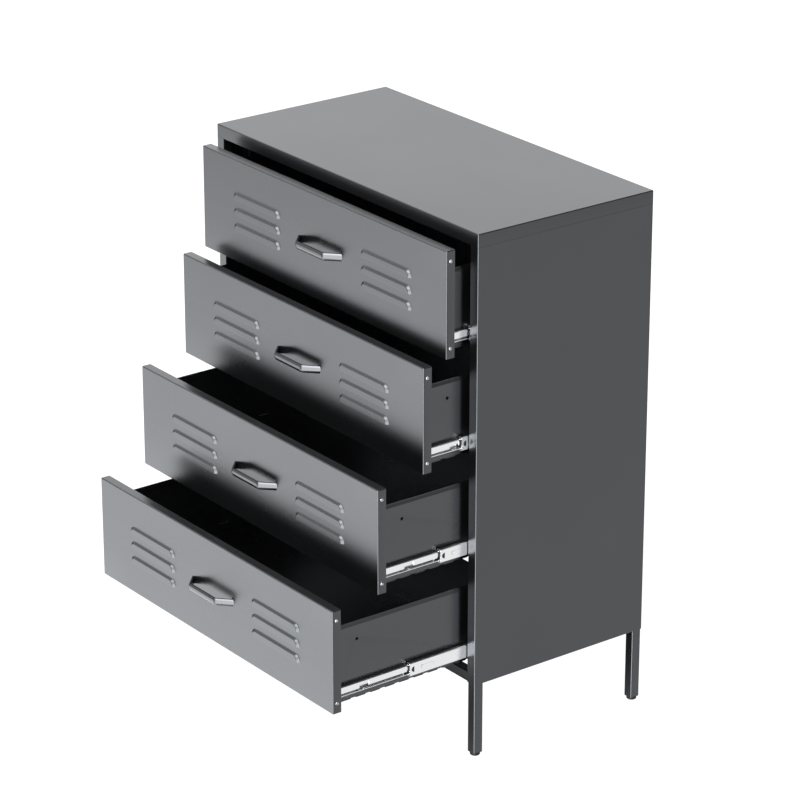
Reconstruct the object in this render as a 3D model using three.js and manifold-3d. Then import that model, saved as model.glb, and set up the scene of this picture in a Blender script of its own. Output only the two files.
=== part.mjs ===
// A four-drawer chest of folded sheet steel on four square-tube legs. Every drawer runs on a pair
// of three-part ball slides, and the drawers stand open one further than the next.
// Millimetres, +Z up, -Y is the front. The carcass is drawn from its own front plane (y = 0) back.
import * as THREE from "three";
import { mergeVertices } from "three/addons/utils/BufferGeometryUtils.js";
import Module from "manifold-3d";

// ---- carcass ----
const WIDTH = 800;
const DEPTH = 400;
const HEIGHT = 1016;
const SHEET = 0.8; // thickness of every folded sheet
const GAP = 0.3; // clearance between pieces that touch on the real chest
const TUBE = 20; // square tube of the legs and bottom rails
const TUBE_WALL = 1.2;
const TOP_LIP = 25; // height of the top cover's folded edge
const TOP_RETURN = 15; // how far that edge is turned in again between the legs
const UNDERSIDE = 147; // floor to the lower edge of the side panels
const POST_WIDTH = 40; // welded slide posts inside each side panel
const FRONT_POST_SETBACK = 60; // front plane to the front slide post
const REAR_POST_SETBACK = 70; // back plane to the rear slide post
const BACK_FLANGE = 12;

// ---- levelling feet ----
const FOOT_HEIGHT = 6; // how far the foot holds the tube end off the floor
const FOOT_RADIUS = 9.5;
const FOOT_CHAMFER = 1.5;
const STUD_RADIUS = 4;
const STUD_LENGTH = 30;
const STUD_CLEARANCE = 0.3;
const PLUG_LENGTH = 12; // plug that closes the tube end and carries the stud

// ---- drawer fronts ----
const TRAVELS = [50, 100, 200, 300]; // how far each drawer stands open, top drawer first
const FRONT_THICKNESS = 18;
const SIDE_CLEARANCE = 3.4; // front to the edge of the opening
const TOP_CLEARANCE = 2.5;
const BOTTOM_CLEARANCE = 3;
const BETWEEN_FRONTS = 3.5;

// ---- louvres pressed out of each front ----
const LOUVRE_WIDTH = 149;
const LOUVRE_HEIGHT = 15;
const LOUVRE_RADIUS = 13;
const LOUVRE_RISE = 4;
const LOUVRE_BEVEL = 3.4;
const LOUVRE_PITCH = 30.4;
const LOUVRE_ROWS = 3;
const LOUVRE_OFFSET = 200; // middle of the front to the middle of a louvre
const LOUVRE_SLIT = 0.6; // cut under each louvre's lip
const ARC_STEPS = 6;

// ---- handles ----
const HANDLE_FEET = 137; // over the outside of the feet
const HANDLE_BAR = 84; // straight middle
const HANDLE_REACH = 25;
const HANDLE_HEIGHT = 14.5;
const HANDLE_THICKNESS = 5;
const HANDLE_BEVEL = 1.6;
const HANDLE_RISE = 1.5; // handle above the middle of the front

// ---- drawer boxes ----
const BOX_LIFT = 14; // lower edge of the front to the lower edge of the box
const BOX_DROP = 38; // upper edge of the front down to the upper edge of the box
const BOX_BACK_CLEARANCE = 26.7; // closed box to the back plane
const BOX_FLANGE = 12;
const HEM_HEIGHT = 10;
const HEM_THICKNESS = 1.7;
const HOLE_RADIUS = 3.2;
const HOLE_SETBACK = 42;
const HOLE_DROP = 35;

// ---- ball slides ----
const SLIDE_THICKNESS = 12.7;
const SLIDE_HEIGHT = 35;
const SLIDE_WALL = 1.2;
const SLIDE_SHORTFALL = 5; // box side left bare behind its slide
const SLIDE_CLEARANCE = 4; // closed front to the cabinet rail
const SLIDE_LIFT = 38; // lower edge of the front to the middle of the slide
const LIP_SETBACK = 2.2; // drawer's side to the lips of the two wider rails
const OUTER_BALLS = 3.05; // ball space between cabinet rail and middle rail
const INNER_BALLS = 2.05; // ball space between middle rail and drawer rail
const OUTER_WEB_GAP = 0.7;
const INNER_WEB_GAP = 0.9;
const MIDDLE_SHORTFALL = 30; // how much shorter the middle rail is
const MIDDLE_INSETS = [12, 17, 20, 2]; // closed front to each floating middle rail

const wasm = await Module();
wasm.setup();

// ---- solids from three.js geometry, joined and cut by manifold-3d ----
function solid(geometry) {
  const bare = new THREE.BufferGeometry();
  bare.setAttribute("position", geometry.getAttribute("position").clone());
  if (geometry.index) bare.setIndex(geometry.index.clone());
  const merged = mergeVertices(bare, 1e-4);
  return new wasm.Manifold(
    new wasm.Mesh({
      numProp: 3,
      vertProperties: new Float32Array(merged.attributes.position.array),
      triVerts: new Uint32Array(merged.index.array),
    }),
  );
}

function geometryOf(manifold) {
  const mesh = manifold.getMesh();
  const geometry = new THREE.BufferGeometry();
  geometry.setAttribute("position", new THREE.BufferAttribute(mesh.vertProperties, 3));
  geometry.setIndex(new THREE.BufferAttribute(mesh.triVerts, 1));
  const flat = geometry.toNonIndexed();
  flat.computeVertexNormals();
  return flat;
}

const join = (...solids) => solids.reduce((a, b) => a.add(b));
const cut = (a, ...tools) => tools.reduce((left, tool) => left.subtract(tool), a);

// Box between two corners.
function block([x0, y0, z0], [x1, y1, z1]) {
  const box = new THREE.BoxGeometry(x1 - x0, y1 - y0, z1 - z0);
  box.translate((x0 + x1) / 2, (y0 + y1) / 2, (z0 + z1) / 2);
  return solid(box);
}

const shapeOf = (points) => new THREE.Shape(points.map(([a, b]) => new THREE.Vector2(a, b)));

// Outline in the XY plane, run up +Z.
function upright(points, length, holes = []) {
  const shape = shapeOf(points);
  for (const hole of holes) shape.holes.push(shapeOf(hole));
  return new THREE.ExtrudeGeometry(shape, { depth: length, bevelEnabled: false });
}

// Outline in the XZ plane, run back along +Y.
function lengthwise(points, length) {
  const geometry = upright(points, length);
  geometry.rotateX(Math.PI / 2);
  return geometry.translate(0, length, 0);
}

// Outline in the YZ plane, run from -X to +X about the middle.
function crosswise(points, length, holes = []) {
  const geometry = upright(points, length, holes);
  geometry.translate(0, 0, -length / 2);
  geometry.rotateX(Math.PI / 2);
  return geometry.rotateZ(Math.PI / 2);
}

const rectangle = (a0, b0, a1, b1) => [[a0, b0], [a1, b0], [a1, b1], [a0, b1]];

// Closed skin over convex outlines in planes of constant y, the front outline first.
function loft(sections) {
  const count = sections[0].outline.length;
  const positions = [];
  const corner = (section, i) => {
    const [x, z] = section.outline[i % count];
    return [x, section.y, z];
  };
  const face = (...corners) => corners.forEach((c) => positions.push(...c));
  const front = sections[0];
  const back = sections[sections.length - 1];
  for (let i = 1; i < count - 1; i++) {
    face(corner(front, 0), corner(front, i), corner(front, i + 1));
    face(corner(back, 0), corner(back, i + 1), corner(back, i));
  }
  for (let s = 0; s < sections.length - 1; s++) {
    const [near, far] = [sections[s], sections[s + 1]];
    for (let i = 0; i < count; i++) {
      face(corner(near, i), corner(far, i), corner(near, i + 1));
      face(corner(near, i + 1), corner(far, i), corner(far, i + 1));
    }
  }
  const geometry = new THREE.BufferGeometry();
  geometry.setAttribute("position", new THREE.Float32BufferAttribute(positions, 3));
  return solid(mergeVertices(geometry, 1e-4));
}

function mirrored(geometry) {
  const copy = (geometry.index ? geometry.toNonIndexed() : geometry.clone()).scale(-1, 1, 1);
  const p = copy.getAttribute("position");
  for (let i = 0; i < p.count; i += 3) {
    const [x, y, z] = [p.getX(i), p.getY(i), p.getZ(i)];
    p.setXYZ(i, p.getX(i + 1), p.getY(i + 1), p.getZ(i + 1));
    p.setXYZ(i + 1, x, y, z);
  }
  copy.computeVertexNormals();
  return copy;
}

// ---- finishes ----
const finish = (color, roughness, metalness) => () =>
  new THREE.MeshStandardMaterial({ color, roughness, metalness });
const darkPaint = finish(0x54575a, 0.42, 0.6);
const handlePaint = finish(0x4a4d50, 0.3, 0.6);
const zinc = finish(0xc9ccd0, 0.25, 1);
const blackPlastic = finish(0x161718, 0.6, 0);

function piece(group, name, geometry, material, x = 0, y = 0, z = 0) {
  const mesh = new THREE.Mesh(geometry, material());
  mesh.name = name;
  mesh.position.set(x, y, z);
  group.add(mesh);
}

function groupAt(parent, x, y, z) {
  const group = new THREE.Group();
  group.position.set(x, y, z);
  parent.add(group);
  return group;
}

// The origin is the middle of the floor area that the chest takes up with its drawers as they stand.
const reach = Math.max(...TRAVELS) + GAP + HANDLE_REACH;
const chest = new THREE.Group();
const carcass = groupAt(chest, 0, (reach - DEPTH) / 2, 0);

// ---- legs, feet and bottom rails ----
const skinInset = SHEET + GAP; // outer face of a panel to the tube behind it
const openingEdge = skinInset + TUBE; // outer face to the inner face of a leg
const openingHalf = WIDTH / 2 - openingEdge;
const legHeight = HEIGHT - SHEET - GAP - FOOT_HEIGHT;
const tubeBore = TUBE / 2 - TUBE_WALL;
const tubeOutline = rectangle(-TUBE / 2, -TUBE / 2, TUBE / 2, TUBE / 2);
const boreOutline = rectangle(-tubeBore, -tubeBore, tubeBore, tubeBore);
const plugReach = tubeBore + TUBE_WALL / 2;

function makeLeg() {
  const tube = solid(upright(tubeOutline, legHeight, [boreOutline]));
  const plug = block([-plugReach, -plugReach, 0], [plugReach, plugReach, PLUG_LENGTH]);
  const bore = new THREE.CylinderGeometry(
    STUD_RADIUS + STUD_CLEARANCE,
    STUD_RADIUS + STUD_CLEARANCE,
    4 * PLUG_LENGTH,
    20,
  );
  return geometryOf(cut(join(tube, plug), solid(bore.rotateX(Math.PI / 2))));
}

function makeFoot() {
  const pad = FOOT_HEIGHT - GAP;
  const profile = [
    [0, 0],
    [FOOT_RADIUS - FOOT_CHAMFER, 0],
    [FOOT_RADIUS, FOOT_CHAMFER],
    [FOOT_RADIUS, pad],
    [STUD_RADIUS, pad],
    [STUD_RADIUS, pad + STUD_LENGTH],
    [0, pad + STUD_LENGTH],
  ].map(([r, z]) => new THREE.Vector2(r, z));
  return new THREE.LatheGeometry(profile, 24).rotateX(Math.PI / 2);
}

const legGeometry = makeLeg();
const footGeometry = makeFoot();
for (const [side, across] of [["left", -1], ["right", 1]]) {
  for (const [end, y] of [["front", openingEdge - TUBE / 2], ["rear", DEPTH - openingEdge + TUBE / 2]]) {
    const x = across * (openingHalf + TUBE / 2);
    piece(carcass, `leg_${end}_${side}`, legGeometry, darkPaint, x, y, FOOT_HEIGHT);
    piece(carcass, `foot_${end}_${side}`, footGeometry, blackPlastic, x, y, 0);
  }
}

// The rear rail stops short of the back panel's two side flanges.
const railHeight = UNDERSIDE + TUBE / 2;
const bottomRail = (half) => crosswise(tubeOutline, 2 * half, [boreOutline]);
const frontRail = bottomRail(openingHalf - GAP);
const rearRail = bottomRail(openingHalf - 2 * GAP - SHEET);
piece(carcass, "front_bottom_rail", frontRail, darkPaint, 0, openingEdge - TUBE / 2, railHeight);
piece(carcass, "rear_bottom_rail", rearRail, darkPaint, 0, DEPTH - openingEdge + TUBE / 2, railHeight);

// ---- panels ----
const panelTop = HEIGHT - TOP_LIP - GAP;
const panelHeight = panelTop - UNDERSIDE;

// One sheet folded round the legs at the front and the back, with two hat-section slide posts
// welded up its inside. Drawn for the left side, from its outer face (x = 0) inwards.
function makeSidePanel() {
  const outline = [[0, 0], [openingEdge, 0], [openingEdge, SHEET], [SHEET, SHEET]];
  const holes = [];
  for (const setback of [FRONT_POST_SETBACK, DEPTH - REAR_POST_SETBACK - POST_WIDTH]) {
    const end = setback + POST_WIDTH;
    outline.push([SHEET, setback], [openingEdge, setback], [openingEdge, end], [SHEET, end]);
    holes.push(rectangle(SHEET, setback + SHEET, openingEdge - SHEET, end - SHEET));
  }
  outline.push([SHEET, DEPTH - SHEET], [openingEdge, DEPTH - SHEET], [openingEdge, DEPTH], [0, DEPTH]);
  return upright(outline, panelHeight, holes);
}

const sidePanel = makeSidePanel();
piece(carcass, "left_side_panel", sidePanel, darkPaint, -WIDTH / 2, 0, UNDERSIDE);
piece(carcass, "right_side_panel", mirrored(sidePanel), darkPaint, WIDTH / 2, 0, UNDERSIDE);

// Drawn looking down, its side flanges turned forwards.
function makeBackPanel() {
  const half = openingHalf - GAP;
  const web = DEPTH - SHEET;
  const edge = DEPTH - BACK_FLANGE;
  const outline = [
    [-half, edge],
    [SHEET - half, edge],
    [SHEET - half, web],
    [half - SHEET, web],
    [half - SHEET, edge],
    [half, edge],
    [half, DEPTH],
    [-half, DEPTH],
  ];
  return upright(outline, panelHeight);
}

piece(carcass, "back_panel", makeBackPanel(), darkPaint, 0, 0, UNDERSIDE);

// A shallow tray turned over, its edges folded in again between the legs.
function makeTopCover() {
  const half = WIDTH / 2;
  const lipFoot = HEIGHT - TOP_LIP;
  const shell = cut(
    block([-half, 0, lipFoot], [half, DEPTH, HEIGHT]),
    block([SHEET - half, SHEET, lipFoot - 1], [half - SHEET, DEPTH - SHEET, HEIGHT - SHEET]),
  );
  const clear = openingHalf - GAP;
  const frontClear = openingEdge + GAP;
  const back = DEPTH - frontClear;
  return geometryOf(
    join(
      shell,
      block([-clear, SHEET / 2, lipFoot], [clear, TOP_RETURN, lipFoot + SHEET]),
      block([-clear, DEPTH - TOP_RETURN, lipFoot], [clear, DEPTH - SHEET / 2, lipFoot + SHEET]),
      block([SHEET / 2 - half, frontClear, lipFoot], [TOP_RETURN - half, back, lipFoot + SHEET]),
      block([half - TOP_RETURN, frontClear, lipFoot], [half - SHEET / 2, back, lipFoot + SHEET]),
    ),
  );
}

piece(carcass, "top_cover", makeTopCover(), darkPaint);

// ---- drawer fronts ----
const frontWidth = 2 * (openingHalf - SIDE_CLEARANCE);
const frontsFoot = UNDERSIDE + TUBE + BOTTOM_CLEARANCE;
const frontsTop = HEIGHT - TOP_LIP - TOP_CLEARANCE;
const frontPitch = (frontsTop - frontsFoot + BETWEEN_FRONTS) / TRAVELS.length;
const frontHeight = frontPitch - BETWEEN_FRONTS;

// Straight foot and rounded shoulders, drawn inside a louvre's edge by inset and below it by drop.
function louvreOutline(inset, drop) {
  const half = LOUVRE_WIDTH / 2 - inset;
  const top = LOUVRE_HEIGHT - inset;
  const radius = Math.min(LOUVRE_RADIUS, LOUVRE_HEIGHT) - inset;
  const points = [[-half, -drop], [half, -drop]];
  for (const side of [1, -1]) {
    for (let i = 0; i <= ARC_STEPS; i++) {
      const turn = (side > 0 ? i : ARC_STEPS - i) * (Math.PI / 2 / ARC_STEPS);
      points.push([side * (half - radius + radius * Math.cos(turn)), top - radius + radius * Math.sin(turn)]);
    }
  }
  return points;
}

function makeFront() {
  const half = frontWidth / 2;
  let front = cut(
    block([-half, 0, 0], [half, FRONT_THICKNESS, frontHeight]),
    block([SHEET - half, SHEET, SHEET], [half - SHEET, FRONT_THICKNESS - SHEET, frontHeight - SHEET]),
  );
  const hood = loft([
    { y: -LOUVRE_RISE, outline: louvreOutline(LOUVRE_BEVEL, 0) },
    { y: 0, outline: louvreOutline(0, 0) },
    { y: SHEET / 2, outline: louvreOutline(0, 0) },
  ]);
  const hollow = loft([
    { y: SHEET - LOUVRE_RISE, outline: louvreOutline(LOUVRE_BEVEL + SHEET, LOUVRE_SLIT) },
    { y: 0, outline: louvreOutline(SHEET, LOUVRE_SLIT) },
    { y: 2 * SHEET, outline: louvreOutline(SHEET, LOUVRE_SLIT) },
  ]);
  const stack = (LOUVRE_ROWS - 1) * LOUVRE_PITCH + LOUVRE_HEIGHT;
  for (const x of [-LOUVRE_OFFSET, LOUVRE_OFFSET]) {
    for (let row = 0; row < LOUVRE_ROWS; row++) {
      const z = (frontHeight - stack) / 2 + row * LOUVRE_PITCH;
      front = cut(join(front, hood.translate(x, 0, z)), hollow.translate(x, 0, z));
    }
  }
  return geometryOf(front);
}

// Flat bar bent to a trapezium, its long edges bevelled.
function makeHandle() {
  const [foot, bar, thick] = [HANDLE_FEET / 2, HANDLE_BAR / 2, HANDLE_THICKNESS];
  const slope = Math.hypot(foot - bar, HANDLE_REACH);
  const footInner = foot - (thick * slope) / HANDLE_REACH;
  const barInner = footInner - ((foot - bar) * (HANDLE_REACH - thick)) / HANDLE_REACH;
  const inset = HANDLE_BEVEL;
  const shape = shapeOf([
    [-foot, 0],
    [-bar, -HANDLE_REACH],
    [bar, -HANDLE_REACH],
    [foot, 0],
    [footInner, 0],
    [barInner, thick - HANDLE_REACH],
    [-barInner, thick - HANDLE_REACH],
    [-footInner, 0],
  ]);
  return new THREE.ExtrudeGeometry(shape, {
    depth: HANDLE_HEIGHT - 2 * inset,
    bevelThickness: inset,
    bevelSize: inset,
    bevelOffset: -inset,
    bevelSegments: 1,
  }).translate(0, 0, inset - HANDLE_HEIGHT / 2);
}

// ---- drawer boxes ----
const boxHalf = openingHalf - 2 * GAP - SLIDE_THICKNESS; // outer face of a box side
const boxHeight = frontHeight - BOX_LIFT - BOX_DROP;
const boxStart = FRONT_THICKNESS + GAP;
const boxDepth = DEPTH - BOX_BACK_CLEARANCE - boxStart;
const holeDrill = 3 * BOX_FLANGE;

// Left side of a box, from its outer face (x = 0) inwards: hem at the top, flange underneath.
function makeBoxSide() {
  const top = boxHeight;
  const wall = lengthwise(
    [
      [0, 0],
      [BOX_FLANGE, 0],
      [BOX_FLANGE, SHEET],
      [SHEET, SHEET],
      [SHEET, top - HEM_HEIGHT],
      [HEM_THICKNESS, top - HEM_HEIGHT],
      [HEM_THICKNESS, top],
      [0, top],
    ],
    boxDepth,
  );
  const drill = new THREE.CylinderGeometry(HOLE_RADIUS, HOLE_RADIUS, holeDrill, 24);
  drill.rotateZ(Math.PI / 2);
  drill.translate(0, HOLE_SETBACK, top - HOLE_DROP);
  return geometryOf(cut(solid(wall), solid(drill)));
}

// One sheet: the bottom, and the back folded up from it and hemmed.
function makeBoxBottom() {
  const front = SHEET + GAP;
  const back = boxDepth;
  const foot = SHEET + GAP;
  const outline = [
    [front, foot],
    [back, foot],
    [back, boxHeight],
    [back - HEM_THICKNESS, boxHeight],
    [back - HEM_THICKNESS, boxHeight - HEM_HEIGHT],
    [back - SHEET, boxHeight - HEM_HEIGHT],
    [back - SHEET, foot + SHEET],
    [front, foot + SHEET],
  ];
  return crosswise(outline, 2 * (boxHalf - HEM_THICKNESS - GAP));
}

// ---- ball slides ----
// Channel section of the left slide: x = 0 lies at the drawer's side and -x is towards the cabinet.
// The web stands at x = -web and the two lips end at x = -lip.
function makeSlideRail({ height, web, lip }, length) {
  const half = height / 2;
  const wall = SLIDE_WALL;
  const inside = web + wall * Math.sign(lip - web);
  return lengthwise(
    [
      [-web, -half],
      [-lip, -half],
      [-lip, wall - half],
      [-inside, wall - half],
      [-inside, half - wall],
      [-lip, half - wall],
      [-lip, half],
      [-web, half],
    ],
    length,
  );
}

const slideLength = boxDepth - SLIDE_SHORTFALL;
const middleHeight = SLIDE_HEIGHT - 2 * (SLIDE_WALL + OUTER_BALLS);
const innerHeight = middleHeight - 2 * (SLIDE_WALL + INNER_BALLS);
const middleWeb = SLIDE_THICKNESS - SLIDE_WALL - OUTER_WEB_GAP;
const innerLip = middleWeb - SLIDE_WALL - INNER_WEB_GAP;
const outerRail = makeSlideRail(
  { height: SLIDE_HEIGHT, web: SLIDE_THICKNESS, lip: LIP_SETBACK },
  slideLength,
);
const middleRail = makeSlideRail(
  { height: middleHeight, web: middleWeb, lip: LIP_SETBACK },
  slideLength - MIDDLE_SHORTFALL,
);
const innerRail = makeSlideRail({ height: innerHeight, web: 0, lip: innerLip }, slideLength);

const frontGeometry = makeFront();
const handleGeometry = makeHandle();
const boxSide = makeBoxSide();
const boxBottom = makeBoxBottom();
const slideSetback = FRONT_THICKNESS + SLIDE_CLEARANCE;
const sides = [
  { name: "left", x: -1, of: (geometry) => geometry },
  { name: "right", x: 1, of: mirrored },
];
const slideX = boxHalf + GAP;

TRAVELS.forEach((travel, index) => {
  const name = `drawer_${index + 1}`;
  const foot = frontsTop - frontHeight - index * frontPitch;
  const drawer = groupAt(carcass, 0, -travel, foot);
  const handleZ = frontHeight / 2 + HANDLE_RISE;
  piece(drawer, `${name}_front`, frontGeometry, darkPaint);
  piece(drawer, `${name}_handle`, handleGeometry, handlePaint, 0, -GAP, handleZ);
  piece(drawer, `${name}_bottom_and_back`, boxBottom, darkPaint, 0, boxStart, BOX_LIFT);
  const slides = groupAt(carcass, 0, 0, foot + SLIDE_LIFT);
  const middleY = FRONT_THICKNESS + MIDDLE_INSETS[index] - travel / 2;
  for (const side of sides) {
    const x = side.x * slideX;
    piece(drawer, `${name}_box_${side.name}`, side.of(boxSide), darkPaint, side.x * boxHalf, boxStart, BOX_LIFT);
    piece(drawer, `${name}_slide_inner_${side.name}`, side.of(innerRail), zinc, x, boxStart, SLIDE_LIFT);
    piece(slides, `${name}_slide_middle_${side.name}`, side.of(middleRail), zinc, x, middleY, 0);
    piece(slides, `${name}_slide_outer_${side.name}`, side.of(outerRail), zinc, x, slideSetback, 0);
  }
});

export default chest;
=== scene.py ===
import math

import bmesh
import bpy
from mathutils import Matrix, Vector


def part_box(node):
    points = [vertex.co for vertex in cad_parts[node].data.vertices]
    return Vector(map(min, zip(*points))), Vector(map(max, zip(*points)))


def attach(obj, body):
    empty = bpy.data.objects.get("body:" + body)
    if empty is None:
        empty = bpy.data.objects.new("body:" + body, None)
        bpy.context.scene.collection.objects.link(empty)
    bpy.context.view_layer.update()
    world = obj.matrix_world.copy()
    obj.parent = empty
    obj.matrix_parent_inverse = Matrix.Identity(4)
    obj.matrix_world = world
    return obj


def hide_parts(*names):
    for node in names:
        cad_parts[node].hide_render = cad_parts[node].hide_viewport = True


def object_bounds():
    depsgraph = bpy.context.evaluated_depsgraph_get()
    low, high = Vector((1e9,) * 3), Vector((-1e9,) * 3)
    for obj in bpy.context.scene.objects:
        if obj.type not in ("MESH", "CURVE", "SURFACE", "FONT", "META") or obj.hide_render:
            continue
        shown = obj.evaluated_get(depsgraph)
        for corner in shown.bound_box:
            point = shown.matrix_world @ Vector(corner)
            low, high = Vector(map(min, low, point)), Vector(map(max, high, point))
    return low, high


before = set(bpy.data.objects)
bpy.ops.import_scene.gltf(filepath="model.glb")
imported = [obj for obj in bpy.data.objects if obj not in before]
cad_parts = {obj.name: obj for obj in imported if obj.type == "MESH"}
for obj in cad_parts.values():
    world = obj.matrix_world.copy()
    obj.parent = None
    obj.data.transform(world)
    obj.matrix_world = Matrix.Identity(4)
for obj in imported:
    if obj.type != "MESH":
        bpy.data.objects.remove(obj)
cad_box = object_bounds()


# ---- Camera, floor and lights ----
# The chest stands on a plain white floor in a photo studio, over a dark grey card: painted shade,
# unseen by the camera and casting no shadow, that stands in for the shaded floor under the chest in
# what its legs and underside reflect. A softbox hangs over its front right corner; the painted
# sheets mirror soft walls.
MM = 0.001
camera = bpy.data.objects.new("camera", bpy.data.cameras.new("camera"))
camera.data.sensor_width = 36.0
camera.data.lens = 158.77
camera.data.clip_end = 60.0
camera.location = (4.9132, -3.6183, 3.0285)
camera.rotation_euler = (math.radians(90 - 21.945), 0.0, math.radians(52.918))
bpy.context.scene.collection.objects.link(camera)
bpy.context.scene.camera = camera
bpy.context.scene.view_settings.view_transform = "Standard"

FLOOR_HALF = 12.0


def node_maker(tree):
    """A function that adds a node to a tree: its inputs are given as values or as sockets that feed
    them, by name or number, and its settings by keyword."""

    def add(kind, inputs=(), **settings):
        node = tree.nodes.new(kind)
        for key, value in settings.items():
            setattr(node, key, value)
        for key, value in dict(inputs).items():
            if isinstance(value, bpy.types.NodeSocket):
                tree.links.new(value, node.inputs[key])
            else:
                node.inputs[key].default_value = value
        return node

    return add


def shader_tree(block):
    """The function that adds nodes to a material or world, its own nodes cleared."""
    block.use_nodes = True
    block.node_tree.nodes.clear()
    return node_maker(block.node_tree)


def lay_sheet(name, low, high, height, material):
    """A flat sheet on the studio floor that isn't part of the object."""
    mesh = bpy.data.meshes.new(name)
    corners = [(low[0], low[1]), (high[0], low[1]), (high[0], high[1]), (low[0], high[1])]
    mesh.from_pydata([(x, y, height) for x, y in corners], [], [(0, 1, 2, 3)])
    mesh.materials.append(material)
    sheet = bpy.data.objects.new(name, mesh)
    bpy.context.scene.collection.objects.link(sheet)
    return sheet


def make_floor():
    material = bpy.data.materials.new("studio_floor")
    add = shader_tree(material)
    paper = add("ShaderNodeBsdfDiffuse", {"Color": (0.9, 0.9, 0.9, 1)})
    glow = add("ShaderNodeEmission", {"Strength": 1.15})
    blend = add("ShaderNodeMixShader", {"Fac": 0.9, 1: paper.outputs[0], 2: glow.outputs[0]})
    add("ShaderNodeOutputMaterial", {"Surface": blend.outputs[0]})
    far = (FLOOR_HALF, FLOOR_HALF)
    floor = lay_sheet("floor", (-FLOOR_HALF, -FLOOR_HALF), far, 0, material)
    floor.visible_glossy = False
    floor.visible_diffuse = False


def lay_painted_shade_card():
    """Painted shade: lies under the chest out of the camera's sight, casting no shadow, as the
    shaded floor there, so that its legs reflect a dark floor.
    """
    material = bpy.data.materials.new("black_card")
    add = shader_tree(material)
    # Painted shade: the grey of the shaded floor under the chest, seen only in reflections and
    # bounce light.
    shade_bsdf = add("ShaderNodeBsdfDiffuse", {"Color": (0.3, 0.3, 0.3, 1)})
    add("ShaderNodeOutputMaterial", {"Surface": shade_bsdf.outputs[0]})
    lying = lay_sheet("black_card", *cad_box, 0.5 * MM, material)
    lying.visible_camera = False
    lying.visible_shadow = False


# Each white wall: the direction that it lies in, the half angle it fills, the angle over which it
# fades out, and its brightness.
STUDIO_WALLS = [
    ((-0.51, -0.39, -0.77), 27, 13, 3.6),
    ((0.42, -0.82, -0.37), 26, 10, 6.3),
    ((0.27, -0.62, 0.73), 28, 10, 7.6),
    ((-0.74, -0.42, 0.52), 20, 16, 1.15),
    ((0.72, 0.54, -0.44), 12, 16, 1.03),
    ((-0.74, 0.56, 0.37), 26, 26, 1.7),
]
STUDIO_FILL = 0.07
SEEN_BRIGHTNESS = 1.3  # of the walls where the camera itself sees them


def make_studio_walls():
    world = bpy.data.worlds.new("studio")
    bpy.context.scene.world = world
    add = shader_tree(world)
    direction = add("ShaderNodeTexCoord").outputs["Generated"]
    total = STUDIO_FILL
    for axis, half, fade, brightness in STUDIO_WALLS:
        aim = {0: direction, 1: Vector(axis).normalized()}
        toward = add("ShaderNodeVectorMath", aim, operation="DOT_PRODUCT")
        lit = {
            "From Min": math.cos(math.radians(half + fade)),
            "From Max": math.cos(math.radians(half)),
            "To Max": brightness,
            "Value": toward.outputs["Value"],
        }
        wall = add("ShaderNodeMapRange", lit, interpolation_type="SMOOTHSTEP")
        more = {0: total, 1: wall.outputs["Result"]}
        total = add("ShaderNodeMath", more, operation="ADD").outputs[0]
    seen = add("ShaderNodeBackground", {"Strength": SEEN_BRIGHTNESS})
    walls = add("ShaderNodeBackground", {"Strength": total})
    direct = add("ShaderNodeLightPath").outputs["Is Camera Ray"]
    choose = {"Fac": direct, 1: walls.outputs[0], 2: seen.outputs[0]}
    chosen = add("ShaderNodeMixShader", choose)
    add("ShaderNodeOutputWorld", {"Surface": chosen.outputs[0]})


def hang_softbox(name, place, aim, width, height, power):
    lamp = bpy.data.lights.new(name, "AREA")
    lamp.shape = "RECTANGLE"
    lamp.size = width
    lamp.size_y = height
    lamp.energy = power
    softbox = bpy.data.objects.new(name, lamp)
    softbox.location = place
    softbox.rotation_euler = (Vector(aim) - Vector(place)).to_track_quat("-Z", "Y").to_euler()
    softbox.visible_camera = False
    bpy.context.scene.collection.objects.link(softbox)


make_floor()
make_studio_walls()
lay_painted_shade_card()
hang_softbox("key_softbox", (1.5, -2.6, 3.4), (0, 0, 0.5), 2.2, 2.2, 25)


# ---- Powder coat ----
# Every sheet and tube is steel under a dark grey powder coat, sprayed dry and baked. It flows into
# a satin skin with a faint orange peel. Its colour is painted a shade lighter along convex folds
# and
# edges: a painted highlight.
def new_tree(name, kind, inputs, outputs):
    """An empty node group with named sockets, and the function that adds its nodes. An input is
    (name, kind of socket) with its default value after them, if it has one."""
    tree = bpy.data.node_groups.new(name, kind)
    for label, socket, *value in inputs:
        made = tree.interface.new_socket(label, in_out="INPUT", socket_type="NodeSocket" + socket)
        if value:
            made.default_value = value[0]
    for label, socket in outputs:
        tree.interface.new_socket(label, in_out="OUTPUT", socket_type="NodeSocket" + socket)
    return tree, node_maker(tree)


FINISH = [("Colour", "Color"), ("Roughness", "Float"), ("Height", "Float")]


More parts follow.
